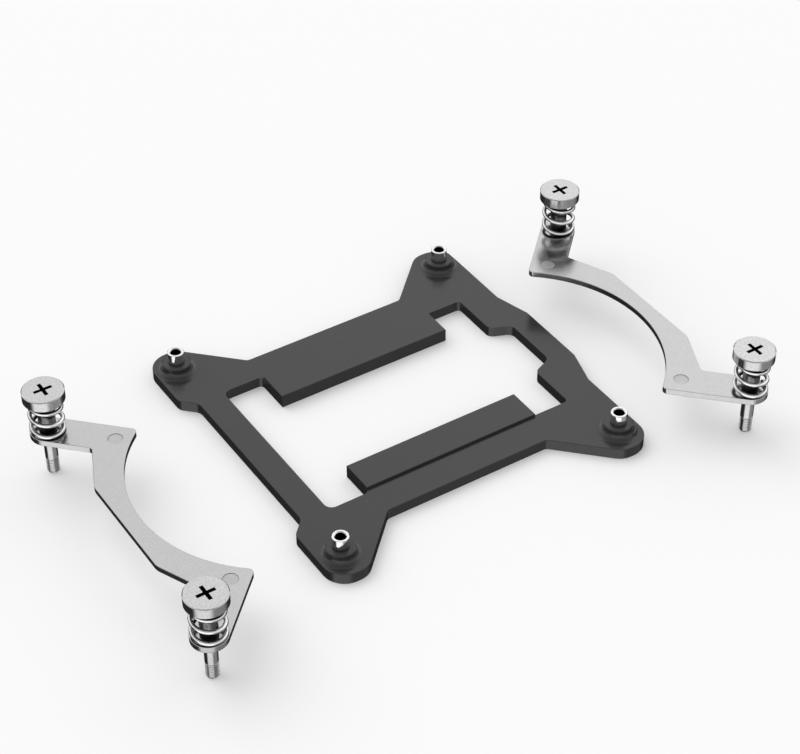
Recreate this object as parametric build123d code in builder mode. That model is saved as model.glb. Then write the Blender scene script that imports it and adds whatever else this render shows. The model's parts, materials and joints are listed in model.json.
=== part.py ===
"""Cooler mounting bracket: a moulded backplate with threaded bushings, and two
sheet-metal arms that each carry two captive spring screws.

Millimetres, +Z up. The origin is the centre of the bushing pattern, on the
plane of the backplate's underside. The arms stand beside the plate on the
tips of their screws.
"""

import os
from math import sqrt

from build123d import *

os.makedirs("parts", exist_ok=True)

# Hole pattern shared by the bushings and the arms
pattern_spacing = 75.0

# Backplate
plate_thickness = 2.8
plate_edge = 0.15             # rounding of the moulded edges
lobe_side_margin = 5.3        # bushing axis to the side of its lobe
lobe_end_margin = 6.7         # bushing axis to the end of its lobe
lobe_slope_inset = 3.05       # bushing axis to the top of the lobe's slope
lobe_side_radius = 5.5
lobe_slope_radius = 5.0
lobe_foot_radius = 1.5
bar_setback = 6.15            # bushing line to the outer edge of the front and back bars
bar_width = 7.3               # front and back bars, left of the lands
right_bar_end_width = 8.55    # front and back bars, right of the lands
left_bar_offset = 1.65        # bushing line to the outer edge of the left bar
left_bar_width = 6.7
left_step_reach = 26.95       # from the middle to where the left lobes step in to the bar
left_step_radius = 2.5
right_bar_width = 8.9
bulge_depth = 2.6             # right bar's swelling towards the outside
bulge_flat_half = 9.8
bulge_foot_half = 19.0
bulge_radius = 1.0
recess_depth = 5.35           # matching recess in the right bar's inner edge
recess_flat_half = 7.6
recess_foot_half = 9.85
recess_radius = 2.0
opening_left_radius = 2.0
opening_corner_radius = 1.0

# Raised lands on the two tongues that reach into the opening
land_length = 46.2
land_centre = 1.2
land_width = 8.7
land_gap = 28.9               # free distance between the two lands
land_rise = 0.7

# Bosses and threaded bushings
boss_diameter = 6.9
boss_height = 2.5
boss_flare = 1.5
boss_edge = 0.2
bushing_diameter = 3.9
bushing_rise = 3.0            # above the boss
bushing_bore = 2.5            # core diameter of the thread
bushing_mouth = 0.22
bushing_rim = 0.1
bushing_hex = 6.0             # across flats of the head in the underside
bushing_hex_height = 1.2
insert_clearance = 0.02

# Arms
arm_thickness = 1.5
arm_bar_width = 4.0           # narrowest place, at the middle of the arc
arm_straight_half = 14.5
arm_straight_radius = 4.0
arm_neck_inset = 5.3          # screw line to the inside corner of the tab
arm_neck_radius = 1.0
arm_elbow_radius = 1.2
tab_half_width = 4.2
arm_edge = 0.12               # rounding of the punched outline
fixing_inset = 4.0            # elbow corner back to the fixing hole, along the tab
fixing_diameter = 3.5

# Spring screws
head_diameter = 9.7
head_height = 2.6
head_edge = 0.2
head_under_edge = 0.1
recess_length = 4.4
recess_width = 0.9
recess_sink = 1.5
recess_taper = 7.0
shoulder_diameter = 4.0
shoulder_below_arm = 1.7
screw_clearance = 0.08        # radial, in the arm's hole
thread_diameter = 3.0
thread_tip = 0.35
shank_below_arm = 10.8

# Springs
spring_height = 9.0
spring_diameter = 8.2
spring_wire = 1.0
spring_turns = 2.45
spring_start = -86.0          # direction of the lower wire end, degrees from +X

# Retaining rings
ring_diameter = 6.0
ring_thickness = 0.6
ring_groove_diameter = 3.2
ring_mouth = 2.5
ring_relief_diameter = 1.3
ring_relief_start = 40.0      # direction of the first relief, degrees from +X
ring_relief_sweep = 100.0     # from the first relief to the second
ring_clearance = 0.02
ring_stop_gap = 0.03          # from the ring to the underside of the arm

# Places of the arms beside the plate
left_arm_distance = 39.2      # left bushing line to the left arm's screw line
right_arm_distance = 27.1     # right bushing line to the right arm's screw line
arm_row = -13.3               # middle of both arms along Y

# Heights and places that follow from the driving sizes
half_pattern = pattern_spacing / 2
left_arm_place = -half_pattern - left_arm_distance
right_arm_place = half_pattern + right_arm_distance
boss_top = plate_thickness + boss_height
arm_underside = shank_below_arm
arm_top = arm_underside + arm_thickness
head_underside = arm_top + spring_height
head_top = head_underside + head_height

bushing_places = {
    "back_left": (-half_pattern, half_pattern),
    "back_right": (half_pattern, half_pattern),
    "front_left": (-half_pattern, -half_pattern),
    "front_right": (half_pattern, -half_pattern),
}
screw_places = {
    "left_back": (left_arm_place, arm_row + half_pattern),
    "left_front": (left_arm_place, arm_row - half_pattern),
    "right_back": (right_arm_place, arm_row + half_pattern),
    "right_front": (right_arm_place, arm_row - half_pattern),
}


def write_node(piece, name):
    """Label one finished piece and write it as its own file."""
    piece.part.label = name
    export_step(piece.part, f"parts/{name}.step")


def write_copies(piece, name, places):
    """Write one copy of a piece for each named place."""
    for corner, (x, y) in places.items():
        with BuildPart() as placed:
            with Locations((x, y, 0)):
                add(piece.part)
        write_node(placed, f"{name}_{corner}")


# Backplate: a frame with four lobes, symmetrical about the X axis
lobe_side = half_pattern + lobe_side_margin
lobe_end = half_pattern + lobe_end_margin
lobe_slope_top = half_pattern - lobe_slope_inset
bar_outer = half_pattern - bar_setback
lobe_foot = lobe_slope_top - (lobe_end - bar_outer)
left_bar_outer = half_pattern + left_bar_offset
left_bar_inner = left_bar_outer - left_bar_width
left_step_foot = left_step_reach - (lobe_side - left_bar_outer)
right_bar_inner = lobe_side - right_bar_width
land_left = land_centre - land_length / 2
land_right = land_centre + land_length / 2
land_inner = land_gap / 2

with BuildPart() as backplate:
    with BuildSketch():
        with BuildLine():
            FilletPolyline(
                (-left_bar_outer, 0),
                (-left_bar_outer, left_step_foot),
                (-lobe_side, left_step_reach),
                (-lobe_side, lobe_end),
                (-lobe_slope_top, lobe_end),
                (-lobe_foot, bar_outer),
                (lobe_foot, bar_outer),
                (lobe_slope_top, lobe_end),
                (lobe_side, lobe_end),
                (lobe_side, bulge_foot_half),
                (lobe_side + bulge_depth, bulge_flat_half),
                (lobe_side + bulge_depth, 0),
                radius=[
                    left_step_radius, left_step_radius,
                    lobe_side_radius, lobe_slope_radius,
                    lobe_foot_radius, lobe_foot_radius,
                    lobe_slope_radius, lobe_side_radius,
                    bulge_radius, bulge_radius,
                ],
            )
            mirror(about=Plane.XZ)
        make_face()
        with BuildLine():
            FilletPolyline(
                (-left_bar_inner, 0),
                (-left_bar_inner, bar_outer - bar_width),
                (land_left, bar_outer - bar_width),
                (land_left, land_inner),
                (land_right, land_inner),
                (land_right, bar_outer - right_bar_end_width),
                (right_bar_inner, bar_outer - right_bar_end_width),
                (right_bar_inner, recess_foot_half),
                (right_bar_inner + recess_depth, recess_flat_half),
                (right_bar_inner + recess_depth, 0),
                radius=[
                    opening_left_radius, opening_corner_radius,
                    0, 0, 0,
                    opening_corner_radius,
                    recess_radius, recess_radius,
                ],
            )
            mirror(about=Plane.XZ)
        make_face(mode=Mode.SUBTRACT)
    extrude(amount=plate_thickness)
    # Lands, one on each tongue
    with BuildSketch(Plane.XY.offset(plate_thickness)):
        with GridLocations(0, land_gap + land_width, 1, 2):
            with Locations((land_centre, 0)):
                Rectangle(land_length, land_width)
    extrude(amount=land_rise)
    # Rounded edges all round the outline, the underside and the lands
    underside, plate_top, land_tops = backplate.faces().filter_by(Axis.Z).group_by(Axis.Z)
    outline_edges = plate_top[0].outer_wire().edges()
    fillet(underside.edges() + outline_edges + land_tops.edges(), radius=plate_edge)
    # Bosses that flare softly into the plate
    with BuildSketch(Plane.XY.offset(plate_thickness)):
        with GridLocations(pattern_spacing, pattern_spacing, 2, 2):
            Circle(boss_diameter / 2)
    bosses = extrude(amount=boss_height)
    chamfer(bosses.faces().sort_by(Axis.Z)[-4:].edges(), length=boss_edge)
    boss_feet = bosses.faces().filter_by(GeomType.CYLINDER).edges().group_by(Axis.Z)[0]
    fillet(boss_feet, radius=boss_flare)
    # Stepped holes for the bushings, with a hexagonal pocket in the underside
    with BuildSketch():
        with GridLocations(pattern_spacing, pattern_spacing, 2, 2):
            Circle(bushing_diameter / 2 + insert_clearance)
    extrude(amount=boss_top, mode=Mode.SUBTRACT)
    with BuildSketch():
        with GridLocations(pattern_spacing, pattern_spacing, 2, 2):
            RegularPolygon(bushing_hex / 2 + insert_clearance, 6, major_radius=False)
    extrude(amount=bushing_hex_height + insert_clearance, mode=Mode.SUBTRACT)
write_node(backplate, "backplate")

# Bushing: a threaded tube with a hexagonal head that stops it turning
with BuildPart() as bushing:
    with BuildSketch():
        RegularPolygon(bushing_hex / 2, 6, major_radius=False)
    extrude(amount=bushing_hex_height)
    with BuildSketch():
        Circle(bushing_diameter / 2)
    extrude(amount=boss_top + bushing_rise)
    chamfer(bushing.edges().group_by(Axis.Z)[-1], length=bushing_rim)
    Hole(bushing_bore / 2)
    rim_face = bushing.faces().sort_by(Axis.Z)[-1]
    chamfer(rim_face.inner_wires().edges(), length=bushing_mouth)
write_copies(bushing, "bushing", bushing_places)

# Arm: a flat bracket whose inner edge is an arc about the pattern's centre,
# with a tab at each end that runs out to its screw at 45 degrees
arc_radius = half_pattern - arm_bar_width
diagonal = sqrt(0.5)
tab_edge = tab_half_width / diagonal
elbow_y = (tab_edge + sqrt(2 * arc_radius**2 - tab_edge**2)) / 2
elbow_x = half_pattern + tab_edge - elbow_y
tab_offset = tab_half_width * diagonal
fixing_distance = (elbow_x + half_pattern - elbow_y) * diagonal - fixing_inset
fixing_x = fixing_distance * diagonal
fixing_y = half_pattern - fixing_distance * diagonal

with BuildPart() as arm:
    with BuildSketch(Plane.XY.offset(arm_underside)) as arm_face:
        with BuildLine():
            FilletPolyline(
                (0, 0),
                (0, arm_straight_half),
                (arm_neck_inset, half_pattern - tab_edge - arm_neck_inset),
                (-tab_offset, half_pattern - tab_offset),
                radius=[arm_straight_radius, arm_neck_radius],
            )
            ThreePointArc(
                (-tab_offset, half_pattern - tab_offset),
                (-tab_offset, half_pattern + tab_offset),
                (tab_offset, half_pattern + tab_offset),
            )
            Line((tab_offset, half_pattern + tab_offset), (elbow_x, elbow_y))
            RadiusArc((elbow_x, elbow_y), (arm_bar_width, 0), -arc_radius)
            mirror(about=Plane.XZ)
        make_face()
        fillet(arm_face.vertices().group_by(Axis.X)[-1], radius=arm_elbow_radius)
        with Locations((0, half_pattern), (0, -half_pattern)):
            Circle(shoulder_diameter / 2 + screw_clearance, mode=Mode.SUBTRACT)
        with Locations((fixing_x, fixing_y), (fixing_x, -fixing_y)):
            Circle(fixing_diameter / 2, mode=Mode.SUBTRACT)
    extrude(amount=arm_thickness)
    arm_outlines = [face.outer_wire() for face in arm.faces().filter_by(Axis.Z)]
    fillet(ShapeList(arm_outlines).edges(), radius=arm_edge)

# Both arms are the same piece, the right one turned half round
arm_turns = {"left": (left_arm_place, 0), "right": (right_arm_place, 180)}
for side, (x, turn) in arm_turns.items():
    with BuildPart() as placed_arm:
        with Locations(Location((x, arm_row, 0), (0, 0, turn))):
            add(arm.part)
    write_node(placed_arm, f"arm_{side}")

# Screw: flat head with a cross recess, a plain shoulder that runs in the arm,
# a groove for the retaining ring and a threaded shank
shoulder_end = arm_underside - shoulder_below_arm
ring_top = arm_underside - ring_stop_gap
ring_bottom = ring_top - ring_thickness
groove_top = ring_top + ring_clearance
groove_bottom = ring_bottom - ring_clearance

with BuildPart() as screw:
    with BuildSketch(Plane.XZ):
        with BuildLine():
            Polyline(
                (0, 0),
                (thread_diameter / 2 - thread_tip, 0),
                (thread_diameter / 2, thread_tip),
                (thread_diameter / 2, shoulder_end),
                (shoulder_diameter / 2, shoulder_end),
                (shoulder_diameter / 2, groove_bottom),
                (ring_groove_diameter / 2, groove_bottom),
                (ring_groove_diameter / 2, groove_top),
                (shoulder_diameter / 2, groove_top),
                (shoulder_diameter / 2, head_underside),
                (head_diameter / 2 - head_under_edge, head_underside),
                (head_diameter / 2, head_underside + head_under_edge),
                (head_diameter / 2, head_top - head_edge),
                (head_diameter / 2 - head_edge, head_top),
                (0, head_top),
                close=True,
            )
        make_face()
    revolve(axis=Axis.Z)
    with BuildSketch(Plane.XY.offset(head_top)):
        Rectangle(recess_length, recess_width)
        Rectangle(recess_width, recess_length)
    extrude(amount=-recess_sink, taper=recess_taper, mode=Mode.SUBTRACT)
write_copies(screw, "screw", screw_places)

# Spring: an open left-handed coil between the arm and the screw's head
coil_rise = spring_height - spring_wire

with BuildPart() as spring:
    with BuildLine() as coil:
        Helix(
            pitch=coil_rise / spring_turns,
            height=coil_rise,
            radius=(spring_diameter - spring_wire) / 2,
            lefthand=True,
        )
    with BuildSketch(Plane(origin=coil.line @ 0, z_dir=coil.line % 0)):
        Circle(spring_wire / 2)
    sweep(path=coil.line, is_frenet=True)
with BuildPart() as seated_spring:
    with Locations(Location((0, 0, arm_top + spring_wire / 2), (0, 0, spring_start))):
        add(spring.part)
write_copies(seated_spring, "spring", screw_places)

# Retaining ring: a spring-steel clip with an open mouth, in the screw's groove
with BuildPart() as retaining_ring:
    with BuildSketch(Plane.XY.offset(ring_bottom)):
        Circle(ring_diameter / 2)
        Circle(ring_groove_diameter / 2 + ring_clearance, mode=Mode.SUBTRACT)
        with Locations((0, -ring_diameter / 4)):
            Rectangle(ring_mouth, ring_diameter / 2, mode=Mode.SUBTRACT)
        with PolarLocations(
            ring_groove_diameter / 2, 2, ring_relief_start, ring_relief_sweep, endpoint=True
        ):
            Circle(ring_relief_diameter / 2, mode=Mode.SUBTRACT)
    extrude(amount=ring_thickness)
write_copies(retaining_ring, "retaining_ring", screw_places)
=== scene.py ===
"""Cooler mounting bracket: finishes, springs, screw threads, locating pins, studio and camera."""

import json
from math import asin, cos, pi, radians, sin

import bmesh
import bpy
from mathutils import Matrix, Vector


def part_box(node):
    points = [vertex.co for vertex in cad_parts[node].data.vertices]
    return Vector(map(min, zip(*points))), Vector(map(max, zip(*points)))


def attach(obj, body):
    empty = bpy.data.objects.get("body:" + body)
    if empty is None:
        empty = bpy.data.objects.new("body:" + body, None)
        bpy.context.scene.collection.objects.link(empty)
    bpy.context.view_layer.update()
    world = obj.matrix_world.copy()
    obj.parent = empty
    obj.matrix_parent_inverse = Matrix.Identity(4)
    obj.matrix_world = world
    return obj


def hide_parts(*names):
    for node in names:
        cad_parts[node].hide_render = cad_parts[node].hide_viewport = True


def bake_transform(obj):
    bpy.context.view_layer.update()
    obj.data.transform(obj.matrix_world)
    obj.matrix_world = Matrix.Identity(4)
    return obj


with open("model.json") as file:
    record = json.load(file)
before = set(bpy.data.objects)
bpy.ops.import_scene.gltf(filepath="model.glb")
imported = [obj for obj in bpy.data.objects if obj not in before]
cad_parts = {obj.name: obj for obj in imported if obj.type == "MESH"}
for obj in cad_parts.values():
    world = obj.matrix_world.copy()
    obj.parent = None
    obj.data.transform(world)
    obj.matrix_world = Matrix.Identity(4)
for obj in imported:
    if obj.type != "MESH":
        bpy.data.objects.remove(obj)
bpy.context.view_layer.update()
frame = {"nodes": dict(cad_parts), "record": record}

MM = 0.001
up = Vector((0, 0, 1))

arm_sides = ["left", "right"]
screw_places = ["left_back", "left_front", "right_back", "right_front"]

# Springs
spring_wire = 1.0 * MM
spring_turns = 2.7
spring_start = radians(4.0)
spring_seat = radians(90.0)       # the lower end lies on the arm for this angle
spring_bend = radians(50.0)       # and then bends upwards over this one
spring_steps_per_turn = 72
spring_sides = 20
spring_end_round = 0.12 * MM

# Screw shanks
shoulder_end = 9.1 * MM           # height where the shoulder steps down to the shank
neck_gap = 0.05 * MM              # the shank is joined to the shoulder over this height
thread_radius = 1.5 * MM
thread_pitch = 0.5 * MM
thread_depth = 0.2 * MM
thread_length = 4.5 * MM
thread_tip = 0.35 * MM            # chamfer at the tip
thread_steps = 48
thread_profile = [(0.0, 0.0), (0.4, 0.0), (0.58, 1.0), (0.82, 1.0)]   # shares of pitch and depth

# Locating pins in the arms
pin_below = 1.0 * MM              # reach under the arm
pin_sunk = 0.1 * MM               # depth of the end under the arm's top
pin_top_edge = 0.1 * MM
pin_tip = 0.3 * MM
pin_steps = 64

# Meshes
same_place = 0.001 * MM           # points closer than this are one
sharp_angle = radians(35.0)

# Finishes
grain_range = (0.3, 0.7)          # what the noise mostly covers
grain_detail = 3.0
cloud_detail = 4.0
plastic_dark = (0.03, 0.03, 0.031, 1.0)
plastic_light = (0.036, 0.036, 0.037, 1.0)
plastic_roughness = (0.17, 0.21)
plastic_clouds = 1.6 * MM
plastic_grain = 0.16 * MM
plastic_grain_height = 0.02 * MM
plastic_grain_strength = 0.05
metal_clouds = 2.5 * MM
metal_grain_height = 0.01 * MM
# Painted shade in enclosed places, found by ambient occlusion
enclosure_reach = 4.0 * MM
enclosure_range = (0.43, 0.9)     # share of free directions, from enclosed to open
enclosure_samples = 8
below_all = -1.0                  # a height under every piece

# Camera, as it stood for the picture
camera_target = Vector((2.093, 0.459, 8.3)) * MM
camera_azimuth = radians(-32.442)
camera_elevation = radians(39.759)
camera_distance = 510.06 * MM
camera_roll = radians(-0.392)
camera_lens = 98.0955
camera_near = 10.0 * MM
camera_far = 200.0

# Studio; a ring of light gives bearings from the camera's side in degrees, each with its brightness
floor_half = 30.0
floor_drop = 0.02 * MM
floor_shade = 0.8
floor_glow = 0.2
ring_below = [
    (-180, 0.03), (-64, 0.03), (-44, 1.2), (18, 1.2),
    (40, 0.34), (95, 0.32), (125, 0.03), (180, 0.03),
]
ring_level = [(-180, 1.0), (180, 1.0)]
ring_low = [
    (-180, 1.07), (-168, 1.0), (-130, 1.0), (-90, 0.82), (-72, 0.8),
    (60, 0.8), (90, 0.85), (125, 1.1), (168, 1.16), (180, 1.07),
]
ring_high = [
    (-180, 1.07), (-168, 1.0), (-130, 1.0), (-90, 0.5), (-72, 0.45),
    (60, 0.45), (90, 0.6), (125, 1.1), (168, 1.16), (180, 1.07),
]
ring_overhead = [(-180, 0.4), (180, 0.4)]
nadir_brightness = 0.03
# From the nadir up, each ring with the heights between which it takes over (sines of the elevation)
light_zones = [
    ((-0.82, -0.72), ring_below),
    ((-0.02, 0.06), ring_level),
    ((0.18, 0.3), ring_low),
    ((0.58, 0.7), ring_high),
    ((0.75, 0.92), ring_overhead),
]
sun_direction = Vector((-0.3, 0.55, 0.85))
sun_angle = radians(60.0)
sun_strength = 1.0


def grey(shade):
    """A neutral colour."""
    return (shade, shade, shade, 1.0)


def add_node(tree, kind, inputs=None, **settings):
    """Make a shader node; an input is a value or the socket it is linked to."""
    node = tree.nodes.new(kind)
    for name, value in settings.items():
        setattr(node, name, value)
    for name, value in (inputs or {}).items():
        if isinstance(value, bpy.types.NodeSocket):
            tree.links.new(value, node.inputs[name])
        else:
            node.inputs[name].default_value = value
    return node


def map_range(tree, value, low, high, to_low, to_high, interpolation="SMOOTHSTEP"):
    """Map a socket's range onto another one."""
    inputs = {"Value": value, "From Min": low, "From Max": high, "To Min": to_low, "To Max": to_high}
    node = add_node(tree, "ShaderNodeMapRange", inputs, interpolation_type=interpolation)
    return node.outputs["Result"]


def noise(tree, coords, feature, detail):
    """Noise whose features are about the given size, in metres."""
    inputs = {"Vector": coords, "Scale": 1.0 / feature, "Detail": detail}
    return add_node(tree, "ShaderNodeTexNoise", inputs).outputs["Fac"]


def mix(tree, factor, first, second):
    """A colour between two others."""
    inputs = {"Factor": factor, "A": first, "B": second}
    return add_node(tree, "ShaderNodeMix", inputs, data_type="RGBA").outputs["Result"]


def calculate(tree, operation, first, second):
    """One operation on two sockets or values."""
    return add_node(tree, "ShaderNodeMath", {0: first, 1: second}, operation=operation).outputs["Value"]


def tint(tree, factor, dark, light):
    """A colour that runs from dark to light with the factor."""
    ramp = add_node(tree, "ShaderNodeValToRGB", {"Fac": factor})
    ramp.color_ramp.elements[0].color = dark
    ramp.color_ramp.elements[1].color = light
    return ramp.outputs["Color"]


def new_material(name):
    """A material with its shader, and coordinates that go with the piece."""
    material = bpy.data.materials.new(name)
    material.use_nodes = True
    tree = material.node_tree
    shader = tree.nodes["Principled BSDF"]
    coords = add_node(tree, "ShaderNodeTexCoord").outputs["Object"]
    return material, tree, shader, coords


def finish_surface(tree, shader, colour, rough, grain, grain_height, grain_strength):
    """Link a shader to its colour, its roughness and the bumps of its grain."""
    inputs = {"Height": grain, "Strength": grain_strength, "Distance": grain_height}
    bump = add_node(tree, "ShaderNodeBump", inputs)
    tree.links.new(colour, shader.inputs["Base Color"])
    tree.links.new(rough, shader.inputs["Roughness"])
    tree.links.new(bump.outputs["Normal"], shader.inputs["Normal"])


def moulded_plastic():
    """Black glass-filled nylon: fine spark-eroded grain with a soft sheen."""
    material, tree, shader, coords = new_material("black moulded nylon")
    clouds = noise(tree, coords, plastic_clouds, cloud_detail)
    grain = noise(tree, coords, plastic_grain, grain_detail)
    colour = tint(tree, clouds, plastic_dark, plastic_light)
    rough = map_range(tree, clouds, *grain_range, *plastic_roughness)
    finish_surface(tree, shader, colour, rough, grain, plastic_grain_height, plastic_grain_strength)
    return material


def painted_shade_share(tree, coords, lowest):
    """Share of painted shade above a height: darkening between the coils, in the bores and in the recesses.
    """
    inputs = {"Distance": enclosure_reach}
    free = add_node(tree, "ShaderNodeAmbientOcclusion", inputs, samples=enclosure_samples).outputs["AO"]
    share = map_range(tree, free, *enclosure_range, 1.0, 0.0)
    height = add_node(tree, "ShaderNodeSeparateXYZ", {"Vector": coords}).outputs["Z"]
    above = calculate(tree, "GREATER_THAN", height, lowest)
    return calculate(tree, "MULTIPLY", share, above)


def metal(name, shades, roughness, grain_size, grain_strength, painted_shade=None, lowest=below_all):
    """Plated or plain metal with a fine even grain; optionally a painted shade and roughness in enclosed
    places.
    """
    material, tree, shader, coords = new_material(name)
    shader.inputs["Metallic"].default_value = 1.0
    clouds = noise(tree, coords, metal_clouds, cloud_detail)
    grain = map_range(tree, noise(tree, coords, grain_size, grain_detail), *grain_range, 0.0, 1.0)
    dark, light = shades
    colour = tint(tree, grain, grey(dark), grey(light))
    rough = map_range(tree, clouds, *grain_range, *roughness)
    if painted_shade:
        # Painted shade: enclosed places are darkened towards this shade, standing in for the shade that
        # falls there
        shade, dullness = painted_shade
        share = painted_shade_share(tree, coords, lowest)
        colour = mix(tree, share, colour, grey(shade))
        rough = map_range(tree, share, 0.0, 1.0, rough, dullness)
    finish_surface(tree, shader, colour, rough, grain, metal_grain_height, grain_strength)
    return material


# The last pair of some finishes is a painted shade and its roughness for enclosed places
materials = {
    "moulded_plastic": moulded_plastic(),
    "arm_plate": metal(
        "satin nickel", shades=(0.53, 0.59), roughness=(0.16, 0.22),
        grain_size=0.2 * MM, grain_strength=0.06,
    ),
    "screw_metal": metal(
        "turned nickel", shades=(0.55, 0.68), roughness=(0.14, 0.2),
        grain_size=0.25 * MM, grain_strength=0.05, painted_shade=(0.02, 0.4), lowest=shoulder_end,
    ),
    "bushing_metal": metal(
        "bright nickel", shades=(0.88, 0.92), roughness=(0.06, 0.1),
        grain_size=0.2 * MM, grain_strength=0.01, painted_shade=(0.02, 0.4),
    ),
    "spring_wire": metal(
        "bright drawn wire", shades=(0.92, 0.96), roughness=(0.05, 0.08),
        grain_size=0.2 * MM, grain_strength=0.01, painted_shade=(0.02, 0.2),
    ),
    "ring_steel": metal(
        "spring steel", shades=(0.32, 0.38), roughness=(0.28, 0.36),
        grain_size=0.15 * MM, grain_strength=0.05, painted_shade=(0.1, 0.4),
    ),
    "pin_steel": metal(
        "plain pin steel", shades=(0.53, 0.57), roughness=(0.32, 0.4),
        grain_size=0.2 * MM, grain_strength=0.03,
    ),
}


def new_object(name, data):
    """Put a mesh, a lamp or a camera into the scene."""
    thing = bpy.data.objects.new(name, data)
    bpy.context.scene.collection.objects.link(thing)
    return thing


def new_piece(name, mesh, finish):
    """Put a mesh into the scene as a piece with its finish, smooth apart from its creases."""
    mesh.polygons.foreach_set("use_smooth", [True] * len(mesh.polygons))
    mesh.set_sharp_from_angle(angle=sharp_angle)
    mesh.materials.append(materials[finish])
    return new_object(name, mesh)


def set_points(mesh, points):
    """Move the points of a mesh."""
    mesh.vertices.foreach_set("co", [value for point in points for value in point])


def around(axis, angle, radius, height):
    """A point at an angle, a radius and a height from the foot of a vertical axis."""
    return axis + Vector((cos(angle) * radius, sin(angle) * radius, height))


def tube_mesh(name, points, sides):
    """A closed tube through rings of points, with a cap at each end."""
    faces = []
    for first in range(0, len(points) - sides, sides):
        for side in range(sides):
            here = first + side
            beside = first + (side + 1) % sides
            faces.append((here, beside, beside + sides, here + sides))
    faces.append(tuple(reversed(range(sides))))
    faces.append(tuple(range(len(points) - sides, len(points))))
    mesh = bpy.data.meshes.new(name)
    mesh.from_pydata(points, [], faces)
    return mesh


def wire_path(radius, low, high):
    """Points along the coil's wire, each with its outward direction: along the arm, then up to the head."""
    sweep = 2 * pi * spring_turns
    steps = round(spring_steps_per_turn * spring_turns)
    rise = high - low - spring_wire
    slope = rise / (sweep - spring_seat - spring_bend / 2)
    path = []
    for step in range(steps + 1):
        turned = sweep * step / steps
        climbed = max(turned - spring_seat, 0)
        if climbed < spring_bend:
            lift = slope * climbed**2 / (2 * spring_bend)
        else:
            lift = slope * (climbed - spring_bend / 2)
        angle = spring_start - turned
        outward = Vector((cos(angle), sin(angle), 0))
        centre = outward * radius + up * (low + spring_wire / 2 + lift)
        path.append((centre, outward))
    return path


def even_share(share):
    """Where a point must lie between two bodies for its blended weight to be this share."""
    return 0.5 - sin(asin(1 - 2 * share) / 3)


def make_spring(place):
    """An open left-handed coil between the arm and the screw's head."""
    low, high = (Vector(corner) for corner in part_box(f"spring_{place}"))
    axis = Vector(((low.x + high.x) / 2, (low.y + high.y) / 2, 0))
    path = wire_path((high.x - low.x - spring_wire) / 2, low.z, high.z)
    last = len(path) - 1
    start = axis + path[0][0].project(up)
    end = axis + path[last][0].project(up)
    surface = []
    weighing = []
    for index, (centre, outward) in enumerate(path):
        ahead = path[min(index + 1, last)][0]
        behind = path[max(index - 1, 0)][0]
        across = (ahead - behind).normalized().cross(outward)
        inset = spring_end_round if index in (0, last) else 0
        reach = spring_wire / 2 - inset
        level = start.lerp(end, even_share((centre.z - start.z) / (end.z - start.z)))
        for side in range(spring_sides):
            turn = 2 * pi * side / spring_sides
            surface.append(axis + centre + (outward * cos(turn) + across * sin(turn)) * reach)
            weighing.append(level)
    mesh = tube_mesh(f"coil_{place}", surface, spring_sides)
    coil = new_piece(f"coil_{place}", mesh, "spring_wire")
    # The weights follow the wire's centre line, so the wire stays round and the coil closes evenly
    set_points(mesh, weighing)
    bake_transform(coil)
    set_points(mesh, surface)
    mesh.update()
    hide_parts(f"spring_{place}")


def shank_radius(height, depth_share):
    """Radius of the shank: the thread runs out at its upper end and the tip is chamfered."""
    run_out = min(1.0, (thread_length - height) / thread_pitch)
    threaded = thread_radius - thread_depth * depth_share * run_out
    return min(threaded, thread_radius - thread_tip + height)


def add_shank(shape, axis):
    """A threaded shank up to the neck, in rows that climb along the thread; gives its open edge."""
    turns = round(thread_length / thread_pitch) + 2
    angles = [2 * pi * step / thread_steps for step in range(thread_steps)]
    rows = []
    for turn in range(turns):
        for phase, depth_share in thread_profile:
            row = []
            for step, angle in enumerate(angles):
                climb = (turn - 1 + phase + step / thread_steps) * thread_pitch
                height = min(max(climb, 0), thread_length)
                row.append(shape.verts.new(around(axis, angle, shank_radius(height, depth_share), height)))
            rows.append(row)
    neck_height = shoulder_end - neck_gap
    neck = [shape.verts.new(around(axis, angle, thread_radius, neck_height)) for angle in angles]
    per_turn = len(thread_profile)
    for index in range(len(rows) - per_turn - 1):
        for step in range(thread_steps):
            # The last point of a row is followed by the row one turn higher
            beside = index if step + 1 < thread_steps else index + per_turn
            after = (step + 1) % thread_steps
            shape.faces.new((
                rows[index][step], rows[beside][after], rows[beside + 1][after], rows[index + 1][step],
            ))
    top = rows[-1]
    for step in range(thread_steps):
        after = (step + 1) % thread_steps
        shape.faces.new((top[step], top[after], neck[after], neck[step]))
    return [shape.edges.get((neck[step - 1], neck[step])) for step in range(thread_steps)]


def make_screw(place):
    """The screw with its thread: the solid's head and shoulder on a threaded shank."""
    low, high = (Vector(corner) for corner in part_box(f"screw_{place}"))
    axis = Vector(((low.x + high.x) / 2, (low.y + high.y) / 2, low.z))
    shape = bmesh.new()
    shape.from_mesh(frame["nodes"][f"screw_{place}"].data)
    bmesh.ops.remove_doubles(shape, verts=shape.verts, dist=same_place)
    everything = shape.verts[:] + shape.edges[:] + shape.faces[:]
    cut = up * (shoulder_end - 2 * same_place)
    bmesh.ops.bisect_plane(shape, geom=everything, plane_co=cut, plane_no=up, clear_inner=True)
    open_edge = [edge for edge in shape.edges if edge.is_boundary]
    open_edge.extend(add_shank(shape, axis))
    bmesh.ops.bridge_loops(shape, edges=open_edge)
    bmesh.ops.remove_doubles(shape, verts=shape.verts, dist=same_place)
    bmesh.ops.holes_fill(shape, edges=shape.edges)
    bmesh.ops.recalc_face_normals(shape, faces=shape.faces)
    mesh = bpy.data.meshes.new(f"threaded_screw_{place}")
    shape.to_mesh(mesh)
    shape.free()
    # The solid's own normals don't hold for the joined mesh
    mesh.attributes.remove(mesh.attributes["custom_normal"])
    screw = new_piece(f"threaded_screw_{place}", mesh, "screw_metal")
    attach(screw, f"spring_screw_{place}")
    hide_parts(f"screw_{place}")


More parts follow.
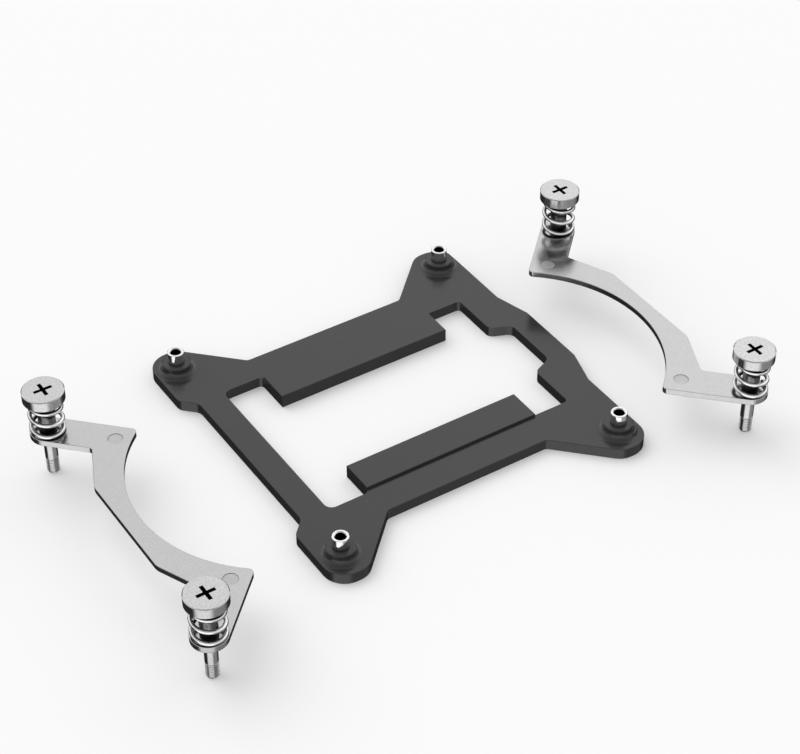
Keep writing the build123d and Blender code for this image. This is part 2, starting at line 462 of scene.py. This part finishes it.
def make_pins(side):
    """Two steel pins pressed into an arm's holes, a little below its top face."""
    fixings = next(mount for mount in frame["record"]["mounts"] if mount["name"] == f"{side}_arm_fixings")
    radius = fixings["dims"]["hole_r_mm"] * MM
    half_spacing = fixings["dims"]["spacing_y_mm"] * MM / 2
    low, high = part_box(f"arm_{side}")
    top = high[2] - pin_sunk
    tip = low[2] - pin_below
    profile = [
        (radius - pin_tip, tip),
        (radius, tip + pin_tip),
        (radius, top - pin_top_edge),
        (radius - pin_top_edge, top),
    ]
    angles = [2 * pi * step / pin_steps for step in range(pin_steps)]
    for end, way in (("back", 1), ("front", -1)):
        centre = Vector((fixings["pos_m"][0], fixings["pos_m"][1] + way * half_spacing, 0))
        points = [around(centre, angle, reach, height) for reach, height in profile for angle in angles]
        mesh = tube_mesh(f"locating_pin_{side}_{end}", points, pin_steps)
        pin = new_piece(f"locating_pin_{side}_{end}", mesh, "pin_steel")
        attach(pin, "bracket_set")


def dress_nodes():
    """Give each node its finish."""
    for entry in frame["record"]["subparts"]:
        mesh = frame["nodes"][entry["node"]].data
        mesh.materials.clear()
        mesh.materials.append(materials[entry["material_slot"]])


def make_floor():
    """A plain pale floor that only the camera sees, so it throws no light back."""
    ways = ((-1, -1), (1, -1), (1, 1), (-1, 1))
    corners = [(x * floor_half, y * floor_half, -floor_drop) for x, y in ways]
    mesh = bpy.data.meshes.new("floor")
    mesh.from_pydata(corners, [], [(0, 1, 2, 3)])
    material = bpy.data.materials.new("pale floor")
    material.use_nodes = True
    shader = material.node_tree.nodes["Principled BSDF"]
    shader.inputs["Base Color"].default_value = grey(floor_shade)
    shader.inputs["Roughness"].default_value = 1.0
    shader.inputs["Specular IOR Level"].default_value = 0.0
    shader.inputs["Emission Color"].default_value = grey(1.0)
    shader.inputs["Emission Strength"].default_value = floor_glow
    mesh.materials.append(material)
    floor = new_object("floor", mesh)
    floor.visible_diffuse = False
    floor.visible_glossy = False


def ring_of_light(tree, bearing, stops):
    """Brightness round the horizon: stops are bearings in degrees from the front, right positive."""
    share = map_range(tree, bearing, -pi, pi, 0.0, 1.0, "LINEAR")
    ramp = add_node(tree, "ShaderNodeValToRGB", {"Fac": share})
    elements = ramp.color_ramp.elements
    while len(elements) < len(stops):
        elements.new(0.5)
    for element, (degrees, brightness) in zip(elements, stops):
        element.position = (degrees + 180) / 360
        element.color = grey(brightness)
    return ramp.outputs["Color"]


def along(tree, direction, way):
    """How far a direction goes one way."""
    node = add_node(tree, "ShaderNodeVectorMath", {0: direction, 1: way}, operation="DOT_PRODUCT")
    return node.outputs["Value"]


def make_world():
    """Soft studio light: brightest behind, dimmer in front and overhead, with one panel low in front."""
    world = bpy.data.worlds.new("studio")
    world.use_nodes = True
    bpy.context.scene.world = world
    tree = world.node_tree
    direction = add_node(tree, "ShaderNodeTexCoord").outputs["Generated"]
    height = add_node(tree, "ShaderNodeSeparateXYZ", {"Vector": direction}).outputs["Z"]
    front = (sin(camera_azimuth), -cos(camera_azimuth), 0)
    right = (cos(camera_azimuth), sin(camera_azimuth), 0)
    bearing = calculate(tree, "ARCTAN2", along(tree, direction, right), along(tree, direction, front))
    light = grey(nadir_brightness)
    for heights, stops in light_zones:
        share = map_range(tree, height, *heights, 0.0, 1.0)
        light = mix(tree, share, light, ring_of_light(tree, bearing, stops))
    tree.links.new(light, tree.nodes["Background"].inputs["Color"])


def make_sun():
    """One broad soft key light from behind, for the shadows."""
    lamp = bpy.data.lights.new("key", "SUN")
    lamp.energy = sun_strength
    lamp.angle = sun_angle
    key = new_object("key", lamp)
    key.rotation_euler = sun_direction.to_track_quat("Z", "Y").to_euler()
    key.visible_glossy = False


def make_camera():
    """The camera at the picture's viewing angle."""
    back = Vector((
        sin(camera_azimuth) * cos(camera_elevation),
        -cos(camera_azimuth) * cos(camera_elevation),
        sin(camera_elevation),
    ))
    right = up.cross(back).normalized()
    turn = Matrix((right, back.cross(right), back)).transposed()
    roll = Matrix.Rotation(camera_roll, 3, "Z")
    data = bpy.data.cameras.new("camera")
    data.lens = camera_lens
    data.clip_start = camera_near
    data.clip_end = camera_far
    camera = new_object("camera", data)
    place = Matrix.Translation(camera_target + back * camera_distance)
    camera.matrix_world = place @ (turn @ roll).to_4x4()
    bpy.context.scene.camera = camera


dress_nodes()
for place in screw_places:
    make_spring(place)
    make_screw(place)
for side in arm_sides:
    make_pins(side)
make_floor()
make_world()
make_sun()
make_camera()
bpy.context.scene.view_settings.view_transform = "Standard"
